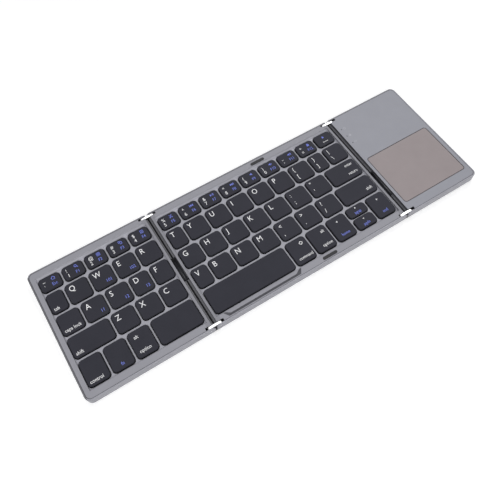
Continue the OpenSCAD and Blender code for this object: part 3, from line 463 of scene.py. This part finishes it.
SPEAKER = [(-1, 0.3), (-1, -0.3), (-0.5, -0.3), (0.1, -0.8), (0.1, 0.8), (-0.5, 0.3)]
ICONS = {
    "house": bars((-1, 0, 0, 0.9), (0, 0.9, 1, 0), (-0.7, 0.1, -0.7, -0.9), (0.7, 0.1, 0.7, -0.9),
                  (-0.8, -0.8, 0.8, -0.8)),
    "lens": [*ring(-0.2, 0.2, 0.6), bar(0.25, -0.25, 0.9, -0.9, w=STROKE * 1.2)],
    "frame": [*bars((-0.9, 0.8, 0.9, 0.8), (-0.9, -0.8, 0.9, -0.8), (-0.8, -0.8, -0.8, 0.8),
                    (0.8, -0.8, 0.8, 0.8)),
              *ring(0, 0, 0.35, n=8)],
    "copy": bars((-0.9, 0.9, 0.3, 0.9), (-0.8, 0.9, -0.8, -0.3), (-0.3, 0.4, 0.9, 0.4),
                 (-0.3, -0.8, 0.9, -0.8), (-0.2, 0.4, -0.2, -0.8), (0.8, 0.4, 0.8, -0.8)),
    "paste": bars((-0.8, 0.7, 0.8, 0.7), (-0.8, -0.9, 0.8, -0.9), (-0.7, 0.7, -0.7, -0.9),
                  (0.7, 0.7, 0.7, -0.9), (-0.3, 0.1, 0.3, 0.1), (-0.3, -0.4, 0.3, -0.4)),
    "cut": [*bars((-0.7, 0.9, 0.4, -0.4), (0.7, 0.9, -0.4, -0.4)),
            *ring(-0.5, -0.65, 0.25, w=STROKE * 0.8, n=8), *ring(0.5, -0.65, 0.25, w=STROKE * 0.8, n=8)],
    "back": [[(-0.1, 0), (0.9, 0.7), (0.9, -0.7)], [(-1.0, 0), (0, 0.7), (0, -0.7)],
             bar(-1.05, 0.7, -1.05, -0.7)],
    "play": [[(-1, 0.7), (-1, -0.7), (0.1, 0)], *bars((0.4, 0.7, 0.4, -0.7), (0.85, 0.7, 0.85, -0.7))],
    "next": [[(0.1, 0), (-0.9, 0.7), (-0.9, -0.7)], [(1.0, 0), (0, 0.7), (0, -0.7)],
             bar(1.05, 0.7, 1.05, -0.7)],
    "mute": [[(-0.8, 0.3), (-0.8, -0.3), (-0.3, -0.3), (0.4, -0.8), (0.4, 0.8), (-0.3, 0.3)]],
    "soft": [SPEAKER, *wave(0.6)],
    "loud": [SPEAKER, *wave(0.6), *wave(1.0)],
    "lock": [[(-0.7, 0.1), (-0.7, -0.9), (0.7, -0.9), (0.7, 0.1)],
             *ring(0, 0.1, 0.45, n=8, sweep=math.pi)],
    "left": [[(-0.9, 0), (0.1, 0.6), (0.1, -0.6)]],
    "right": [[(0.9, 0), (-0.1, -0.6), (-0.1, 0.6)]],
    "up": [[(0, 0.9), (-0.6, -0.1), (0.6, -0.1)]],
    "down": [[(0, -0.9), (0.6, 0.1), (-0.6, 0.1)]],
    "rubout": [bar(-1.6, 0, 1.8, 0), [(-2.0, 0), (-1.2, 0.5), (-1.2, -0.5)]],
    "diamond": bars((-0.8, 0, 0, 0.8), (0, 0.8, 0.8, 0), (0.8, 0, 0, -0.8), (0, -0.8, -0.8, 0)),
    "ring": ring(0, 0, 0.7),
    "cell": bars((-0.9, 0.45, 0.7, 0.45), (-0.9, -0.45, 0.7, -0.45), (-0.8, 0.45, -0.8, -0.45),
                 (0.6, 0.45, 0.6, -0.45), (0.85, 0.2, 0.85, -0.2)),
}


# Legends

WHITE, BLUE = 0, 1
# Height of the print over what carries it
LIFT = 0.02 * MM

# Where the marks of each kind of key sit on its cap, in millimetres: the form, the side that the place is
# measured from and the distance, first in x and then in y, the size, and the ink
LAYOUTS = {
    "letter": [("text", "left", 2.5, "back", 6.2, 5.7, WHITE),
               ("text", "right", 2.4, "front", 2.7, 3.3, BLUE)],
    "pair": [("text", "left", 2.8, "back", 5.4, 4.6, WHITE),
             ("text", "left", 2.8, "front", 3.4, 4.6, WHITE)],
    "digit": [("text", "left", 2.6, "back", 4.9, 3.8, WHITE),
              ("text", "left", 2.6, "front", 2.0, 3.9, WHITE),
              ("icon", "right", 4.6, "back", 3.2, 1.35, BLUE),
              ("centred", "right", 4.8, "front", 2.3, 3.2, BLUE)],
    "low_left": [("text", "left", 1.9, "front", 1.9, 3.4, WHITE)],
    "low_blue": [("centred", "middle", 0, "front", 2.4, 3.3, BLUE)],
    "two": [("text", "left", 3.4, "back", 5.8, 3.4, WHITE),
            ("text", "left", 2.8, "front", 3.0, 3.4, WHITE)],
    "two_right": [("text", "right", 2.4, "back", 5.8, 3.3, WHITE),
                  ("text", "right", 2.0, "front", 3.0, 3.3, WHITE)],
    "icon_word": [("icon", "right", 4.4, "back", 4.6, 1.6, WHITE),
                  ("text", "right", 1.3, "front", 3.0, 3.1, WHITE)],
    "right": [("text", "right", 2.9, "front", 3.2, 3.3, WHITE),
              ("text", "right", 2.9, "back", 5.0, 3.3, WHITE)],
    "arrow": [("icon", "middle", 0, "back", 4.4, 1.2, WHITE),
              ("centred", "middle", 0, "front", 3.0, 3.2, BLUE)],
    "small_arrow": [("icon", "middle", 0, "back", 2.2, 1.0, WHITE),
                    ("centred", "middle", 0, "front", 1.8, 3.1, BLUE)],
    "rubout": [("icon", "middle", 0, "front", 3.0, 1.2, WHITE),
               ("icon", "middle", 0, "back", 3.4, 1.0, BLUE)],
}


def letters(string):
    return [("letter", c) for c in string]


# The kind of each cap of a node, from left to right, and what its marks say
LEGENDS = {
    "esc_key": [("digit", "~", "`", "house", "Esc")],
    "left_digit_keys": [("digit", "!", "1", "lens", "F1"), ("digit", "@", "2", "frame", "F2"),
                        ("digit", "#", "3", "copy", "F3"), ("digit", "$", "4", "paste", "F4")],
    "digit_keys_5_to_8": [("digit", "%", "5", "cut", "F5"), ("digit", "^", "6", "back", "F6"),
                          ("digit", "&", "7", "play", "F7"), ("digit", "*", "8", "next", "F8")],
    "digit_keys_9_to_plus": [("digit", "(", "9", "mute", "F9"), ("digit", ")", "0", "soft", "F10"),
                             ("digit", "_", "-", "loud", "F11"), ("digit", "+", "=", "lock", "F12")],
    "backspace_key": [("rubout", "rubout", "lock")],
    "tab_key": [("low_left", "tab")],
    "left_upper_keys": [("letter", "Q"), ("letter", "W", "101"), ("letter", "E", "102"), ("letter", "R")],
    "caps_key": [("low_left", "caps lock")],
    "left_home_keys": [("letter", "A", "11"), ("letter", "S", "12"), ("letter", "D", "13"), ("letter", "F")],
    "left_shift_key": [("low_left", "shift")],
    "left_lower_keys": letters("ZXC"),
    "control_key": [("low_left", "control")],
    "fn_key": [("low_blue", "fn")],
    "left_option_key": [("two", "alt", "option")],
    "upper_keys_t_to_i": letters("TYUI"),
    "upper_keys_o_to_bracket": [*letters("OP"), ("pair", "{", "["), ("pair", "}", "]")],
    "backslash_key": [("pair", "|", "\\")],
    "centre_home_keys": [*letters("GHJKL"), ("pair", ":", ";"), ("pair", "\"", "'")],
    "enter_key": [("right", "return", "enter")],
    "centre_lower_keys": [*letters("VBNM"), ("pair", "<", ","), ("pair", ">", "."), ("pair", "?", "/")],
    "right_shift_key": [("right", "shift")],
    "command_key": [("icon_word", "diamond", "command")],
    "right_option_key": [("two_right", "alt", "option")],
    "left_arrow_key": [("arrow", "left", "home")],
    "right_arrow_key": [("arrow", "right", "end")],
    "up_arrow_key": [("small_arrow", "up", "pgup")],
    "down_arrow_key": [("small_arrow", "down", "pgdn")],
}


def cap_boxes(node):
    """Each cap of a node as (x0, x1, y0, y1, top), from left to right, in metres."""
    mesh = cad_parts[node].data
    spans = []
    for p in mesh.polygons:
        xs = [mesh.vertices[v].co.x for v in p.vertices]
        spans.append((min(xs), max(xs)))
    spans.sort()
    # Faces that lie nearer to each other than this are on the same cap
    same_cap = 0.4 * MM
    joined = []
    for a, b in spans:
        if joined and a <= joined[-1][1] + same_cap:
            joined[-1][1] = max(joined[-1][1], b)
        else:
            joined.append([a, b])
    low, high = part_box(node)
    return [(a, b, low.y, high.y, high.z) for a, b in joined]


def mark_cap(marks, kind, words, cap):
    """Prints the words and icons of one cap."""
    x0, x1, y0, y1, top = cap
    for (form, side_x, dx, side_y, dy, size, ink_slot), word in zip(LAYOUTS[kind], words):
        x = {"left": x0 + dx * MM, "right": x1 - dx * MM, "middle": (x0 + x1) / 2}[side_x]
        y = {"front": y0 + dy * MM, "back": y1 - dy * MM}[side_y]
        if form == "icon":
            marks.icon(word, x, y, top + LIFT, size * MM, ink_slot)
        else:
            align = "CENTER" if form == "centred" else side_x.upper()
            marks.text(word, x, y, top + LIFT, size * MM, ink_slot, align)


for node, caps in LEGENDS.items():
    legend = Marks()
    for (kind, *words), cap in zip(caps, cap_boxes(node)):
        mark_cap(legend, kind, words, cap)
    legend.build("legend_" + node, node, [white_ink, blue_ink])


# Domes and lifts under the keys


def weld(mesh):
    """Joins the points that lie on each other."""
    b = bmesh.new()
    b.from_mesh(mesh)
    bmesh.ops.remove_doubles(b, verts=b.verts, dist=0.001 * MM)
    b.to_mesh(mesh)
    b.free()


def springs(side, body, nodes):
    """The domes and lifts under each key node as its own piece."""
    sources = [(side + "_domes", rubber), (side + "_scissors", lift)]
    places = [(node, cap) for node in nodes for cap in cap_boxes(node)]
    made = {node: ([], [], []) for node in nodes}
    for slot, (name, _) in enumerate(sources):
        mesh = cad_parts[name].data
        for p in mesh.polygons:
            for node, (x0, x1, y0, y1, _top) in places:
                if x0 < p.center.x < x1 and y0 < p.center.y < y1:
                    verts, faces, slots = made[node]
                    faces.append(tuple(range(len(verts), len(verts) + len(p.vertices))))
                    verts += [mesh.vertices[v].co for v in p.vertices]
                    slots.append(slot)
                    break
    for node, (verts, faces, slots) in made.items():
        o = new_piece("spring_" + node, verts, faces, *[mat for _, mat in sources])
        for p, slot in zip(o.data.polygons, slots):
            p.material_index = slot
        weld(o.data)
        for name, _ in sources:
            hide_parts(name)
        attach(o, body)
        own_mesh(o)


FOLD_X = FOLDS[0] * MM
springs("left", "left_wing", [n for n in KEY_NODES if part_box(n)[1].x < FOLD_X])
springs("centre", "centre", [n for n in KEY_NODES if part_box(n)[1].x > FOLD_X])


# Small printed marks beside the status lights

def status_marks():
    low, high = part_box("status_lights")
    inset, beside, size = 0.9 * MM, 1.7 * MM, 1.2 * MM
    marks = Marks()
    for i, name in enumerate(("cell", "lock", "ring")):
        y = low.y + inset + i * (high.y - low.y - 2 * inset) / 2
        marks.icon(name, high.x + beside, y, high.z + LIFT, size)
    marks.build("status_light_marks", "right_wing", [faint_ink])


status_marks()


# Lines on the panels

def strip(marks, a, b, z):
    """Flat band between two lines of as many points."""
    for i in range(len(a) - 1):
        marks.polygon([a[i], a[i + 1], b[i + 1], b[i]], z)


ARC_STEPS = 8


def arc(cx, cy, rx, ry, start):
    """Points of a quarter turn about (cx, cy) from start, which counts in quarter turns."""
    turns = [math.pi / 2 * (start + i / ARC_STEPS) for i in range(ARC_STEPS + 1)]
    return [(cx + rx * math.cos(a), cy + ry * math.sin(a)) for a in turns]


def pad_outline(inset):
    """Outline of the touchpad, drawn in by inset and closed."""
    low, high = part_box("touchpad")
    r = 2.0 * MM
    x0, x1, y0, y1 = low.x + r, high.x - r, low.y + r, high.y - r
    out = []
    for k, (cx, cy) in enumerate(((x1, y1), (x0, y1), (x0, y0), (x1, y0))):
        out += arc(cx, cy, r - inset, r - inset, k)
    return out + out[:1]


def touchpad_line():
    """Dark line round the touchpad's edge."""
    marks = Marks()
    line_w = 0.35 * MM
    strip(marks, pad_outline(0.0), pad_outline(line_w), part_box("touchpad")[1].z + LIFT)
    marks.build("touchpad_line", "right_wing", [dark_ink])


touchpad_line()

# The narrow seam between each top frame and the shell's wall, with a shadow at its foot
WALL, SEAM, SEAM_DEEP, CORNER = 1.0 * MM, 0.26 * MM, 0.12 * MM, 3.0 * MM
# The seam's line begins behind the links' slots, this far from the panel's end at the fold
SEAM_START = 7.2 * MM
SEAM_Z = TOP * MM - SEAM_DEEP


def seam_line(x_fold, x_end, inset):
    """One side of a wing's seam, from the fold round the panel's outer end and back."""
    y = BACK * MM - inset
    sign = 1 if x_end > x_fold else -1
    r = CORNER + WALL - inset
    cx = x_end - sign * (inset + r)
    return [(x_fold, -y), *arc(cx, r - y, sign * r, r, -1), *arc(cx, y - r, sign * r, r, 0), (x_fold, y)]


def wing_seam(shell, body, sign):
    low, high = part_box(shell)
    fold, end = (low.x, high.x) if sign > 0 else (high.x, low.x)
    fold += sign * SEAM_START
    marks = Marks()
    strip(marks, seam_line(fold, end, WALL), seam_line(fold, end, WALL + SEAM), SEAM_Z)
    marks.build("seam_" + body, body, [seam_dark])


def centre_seam():
    low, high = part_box("centre_shell")
    x0, x1 = low.x + SEAM_START, high.x - SEAM_START
    marks = Marks()
    for y in (low.y + WALL, high.y - WALL - SEAM):
        marks.polygon([(x0, y), (x1, y), (x1, y + SEAM), (x0, y + SEAM)], SEAM_Z)
    marks.build("seam_centre", "centre", [seam_dark])


wing_seam("left_shell", "left_wing", -1)
wing_seam("right_shell", "right_wing", 1)
centre_seam()


# Slope of the thumb scoop

def scoop_slope():
    """Soft slope along the front and the slanting ends of the thumb scoop, from the deck up to the rim, in a
    darker grey that paints its shade.
    """
    space_low, space_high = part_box("right_space_key")
    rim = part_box("centre_frame")[1].z
    # The scoop's ends beside the space key, and its line behind the panel's front edge
    from_left, past_right, behind_edge = 4.0 * MM, 2.2 * MM, 5.75 * MM
    # How far the scoop cuts into the rim, the slant of its ends, and the slope's width and height
    reach, slant, wide, drop = 3.85 * MM, 2.5 * MM, 2.1 * MM, 1.6 * MM
    # Overlap with the frame's faces, and the depth that the slope's foot goes into the deck
    skin, root = 0.01 * MM, 0.2 * MM
    x0, x1 = space_low.x + from_left, space_high.x + past_right
    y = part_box("centre_shell")[0].y + behind_edge
    turns = ((x0, y, 1, 0), (x0 + slant, y - reach, 1, 1), (x1 - slant, y - reach, -1, 1), (x1, y, -1, 0))
    verts, faces = [], []
    for cx, cy, dx, dy in turns:
        verts += [(cx, cy, rim - skin), (cx + dx * wide, cy + dy * wide, rim - drop + skin),
                  (cx, cy, rim - drop - root)]
    for i in range(3):
        a, b = 3 * i, 3 * i + 3
        faces += [(a, a + 1, b + 1, b), (a + 1, a + 2, b + 2, b + 1), (a + 2, a, b, b + 2)]
    # The slope's two closed ends
    faces += [(0, 2, 1), (b, b + 1, b + 2)]
    o = new_piece("scoop_slope", verts, faces, scoop_satin)
    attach(o, "centre")


scoop_slope()


# Flexible cables

CABLE_THICK, CABLE_BEND, LOOP_HALF, NOTCH_HALF = 0.25 * MM, 0.7 * MM, 1.45 * MM, 1.9 * MM
# Steps of the bend at the slit, of the straight run down and of the loop's quarter turn
BEND_STEPS, DROP_STEPS, LOOP_STEPS = 6, 4, 10


def cable_line(half_length, mid_top, turn):
    """Middle line of half a cable, from its slit down into the loop and to the middle of the fold."""
    side = LOOP_HALF + CABLE_BEND
    line = [(half_length, mid_top), (side, mid_top)]
    for i in range(1, BEND_STEPS + 1):
        a = math.pi / 2 * i / BEND_STEPS
        line.append((side - CABLE_BEND * math.sin(a), mid_top - CABLE_BEND * (1 - math.cos(a))))
    straight = mid_top - CABLE_BEND - turn
    line += [(LOOP_HALF, turn + straight * (1 - i / DROP_STEPS)) for i in range(1, DROP_STEPS)]
    for i in range(LOOP_STEPS + 1):
        a = math.pi / 2 * i / LOOP_STEPS
        line.append((LOOP_HALF * math.cos(a), turn - LOOP_HALF * math.sin(a)))
    return line


def cable_half(name, node, sign):
    """One half of a cable, from its slit in a panel to the middle of the fold."""
    low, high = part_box(node)
    fold, bottom = (low.x + high.x) / 2, low.z
    mid_top, turn = high.z - CABLE_THICK / 2, bottom + CABLE_THICK / 2 + LOOP_HALF
    points = [Vector((fold + sign * x, z)) for x, z in cable_line((high.x - low.x) / 2, mid_top, turn)]
    verts, faces = [], []
    for i, p in enumerate(points):
        along = (points[min(i + 1, len(points) - 1)] - points[max(i - 1, 0)]).normalized()
        for y in (low.y, high.y):
            for off in (-CABLE_THICK / 2, CABLE_THICK / 2):
                verts.append((p.x - along.y * off, y, p.y + along.x * off))
    for a in range(0, len(verts) - 4, 4):
        b = a + 4
        faces += [(a, a + 1, b + 1, b), (a + 2, b + 2, b + 3, a + 3)]
        faces += [(a, b, b + 2, a + 2), (a + 1, a + 3, b + 3, b + 1)]
    faces += [(0, 2, 3, 1), (b, b + 1, b + 3, b + 2)]
    o = new_piece(name, verts, faces, cable)
    for p in o.data.polygons:
        p.use_smooth = True
    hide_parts(node)
    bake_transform(o)


cable_half("left_cable_to_wing", "left_flex_cable", -1)
cable_half("left_cable_to_centre", "left_flex_cable", 1)
cable_half("right_cable_to_wing", "right_flex_cable", 1)
cable_half("right_cable_to_centre", "right_flex_cable", -1)


# Black strips under the links, which paint the shade in the folds, in millimetres

PIN_STEP, PIN_Z = 7.0, 4.6
# Half widths of a nose about its pin, in x and down to the underside
NOSE_R, NOSE_DOWN = (PIN_STEP - NOSE_GAP) / 2, 4.0
# The strip's underside, and its top beside and under the cable
STRIP_LOW, STRIP_TOP, STRIP_TOP_CABLE = 0.95, 2.4, 2.0
# Room to the noses, beside the cable and to the panels' front and back
STRIP_PLAY, CABLE_PLAY, STRIP_END = 0.2, 0.6, 0.3
STRIP_STEPS = 5


def strip_side(top):
    """Right side of the strip's outline, which follows the nose beside it, from below up to top."""
    side = []
    for i in range(STRIP_STEPS + 1):
        z = STRIP_LOW + (top - STRIP_LOW) * i / STRIP_STEPS
        nose = NOSE_R * math.sqrt(1 - ((PIN_Z - z) / NOSE_DOWN) ** 2)
        side.append((PIN_STEP / 2 - nose - STRIP_PLAY, z))
    return side


def fold_shade_strip(name, fold, cable_node, link):
    """Black strip that joins a fold's two links and fills the gap between the panels as painted shade."""
    cable_low, cable_high = corners(cable_node)
    end, y0, y1 = BACK - STRIP_END, cable_low.y - CABLE_PLAY, cable_high.y + CABLE_PLAY
    verts, faces = [], []
    for front, back, top in ((-end, y0, STRIP_TOP), (y0, y1, STRIP_TOP_CABLE), (y1, end, STRIP_TOP)):
        side = strip_side(top)
        outline = side + [(-x, z) for x, z in reversed(side)]
        first, count = len(verts), len(outline)
        for y in (front, back):
            verts += [((fold + x) * MM, y * MM, z * MM) for x, z in outline]
        for i in range(count):
            j = (i + 1) % count
            faces.append((first + i, first + j, first + count + j, first + count + i))
        faces.append(tuple(reversed(range(first, first + count))))
        faces.append(tuple(range(first + count, first + 2 * count)))
    o = new_piece(name, verts, faces, spine_black)
    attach(o, link)


fold_shade_strip("left_fold_shade_strip", FOLDS[0], "left_flex_cable", "left_link")
fold_shade_strip("right_fold_shade_strip", FOLDS[1], "right_flex_cable", "right_link")


# Floor

def seen_directly(tree):
    """1 for rays from the camera and for those that mirror or pass through a surface, else 0."""
    path, out = tree.nodes.new("ShaderNodeLightPath"), None
    for kind in ("Is Camera Ray", "Is Glossy Ray", "Is Transmission Ray"):
        if out is None:
            out = path.outputs[kind]
            continue
        either = tree.nodes.new("ShaderNodeMath")
        either.operation = "MAXIMUM"
        tree.links.new(out, either.inputs[0])
        tree.links.new(path.outputs[kind], either.inputs[1])
        out = either.outputs[0]
    return out


FLOOR_SIZE = 6.0
# Glow that makes the floor white where it is looked at: near the object, far off, and where it rises between
NEAR_GLOW, FAR_GLOW, GLOW_RISE = 0.34, 1.0, (0.4, 1.1)


def floor_material():
    n = Nodes("floor_white")
    n.shader.inputs["Roughness"].default_value = 0.9
    n.shader.inputs["Specular IOR Level"].default_value = 0.1
    n.link(n.mix(n.noise(0.02, detail=1.0), (0.86, 0.86, 0.86, 1), (0.88, 0.88, 0.88, 1)),
           n.shader.inputs["Base Color"])
    reach = n.tree.nodes.new("ShaderNodeVectorMath")
    reach.operation = "LENGTH"
    n.link(n.coords.outputs["Object"], reach.inputs[0])
    glow = n.add("ShaderNodeEmission", Color=(1, 1, 1, 1))
    n.link(n.spread(reach.outputs["Value"], NEAR_GLOW, FAR_GLOW, at=GLOW_RISE), glow.inputs["Strength"])
    both = n.tree.nodes.new("ShaderNodeAddShader")
    n.link(n.shader.outputs[0], both.inputs[0])
    n.link(glow.outputs[0], both.inputs[1])
    pick = n.tree.nodes.new("ShaderNodeMixShader")
    n.link(seen_directly(n.tree), pick.inputs[0])
    n.link(n.shader.outputs[0], pick.inputs[1])
    n.link(both.outputs[0], pick.inputs[2])
    n.link(pick.outputs[0], n.tree.nodes["Material Output"].inputs["Surface"])
    return n.mat


bpy.ops.mesh.primitive_plane_add(size=FLOOR_SIZE, location=(0, 0, 0))
floor = bpy.context.object
floor.name = "floor"
floor.data.materials.append(floor_material())


# Light

def area(name, location, target, size, power):
    """A rectangular lamp that faces its target."""
    data = bpy.data.lights.new(name, "AREA")
    data.shape = "RECTANGLE"
    data.size, data.size_y = size
    data.energy = power
    o = bpy.data.objects.new(name, data)
    bpy.context.collection.objects.link(o)
    o.location = location
    o.rotation_euler = (Vector(target) - Vector(location)).to_track_quat("-Z", "Y").to_euler()


area("light_key", (-0.45, -0.65, 1.25), (0, 0, 0), (0.9, 0.9), 12.0)
area("light_top_back", (0.15, 0.5, 1.3), (0.05, 0, 0), (1.4, 1.0), 3.1)
area("light_back_right", (0.62, 0.5, 0.95), (0.05, 0, 0), (0.6, 0.6), 2.4)
area("light_low_front", (0.1, -1.0, 0.28), (0, 0, 0), (1.4, 0.4), 1.7)


def soft_room(fill):
    """White surroundings in view and in reflections, which light the object at the strength fill."""
    world = bpy.data.worlds.new("soft_room")
    world.use_nodes = True
    tree = world.node_tree
    back = tree.nodes["Background"]
    back.inputs["Color"].default_value = (1, 1, 1, 1)
    level = tree.nodes.new("ShaderNodeMapRange")
    level.inputs["To Min"].default_value = fill
    tree.links.new(seen_directly(tree), level.inputs["Value"])
    tree.links.new(level.outputs["Result"], back.inputs["Strength"])
    return world


bpy.context.scene.world = soft_room(fill=0.18)


# Camera at the photograph's viewing angle

SENSOR_W, LENS = 36.0, 39.83
EYE = Vector((-0.1057, -0.15965, 0.3351))
FORWARD, RIGHTWARD = Vector((0.2377, 0.395, -0.8874)), Vector((0.8474, -0.5309, -0.0094))

camera = bpy.data.cameras.new("camera")
camera.sensor_width = SENSOR_W
camera.sensor_fit = "HORIZONTAL"
camera.lens = LENS
camera.clip_start = 0.01
camera.clip_end = 20.0
eye = bpy.data.objects.new("camera", camera)
bpy.context.collection.objects.link(eye)
forward = FORWARD.normalized()
right = (RIGHTWARD - RIGHTWARD.dot(forward) * forward).normalized()
turn = Matrix((right, right.cross(forward), -forward)).transposed()
eye.matrix_world = Matrix.Translation(EYE) @ turn.to_4x4()
bpy.context.scene.camera = eye
bpy.context.scene.view_settings.view_transform = "Standard"
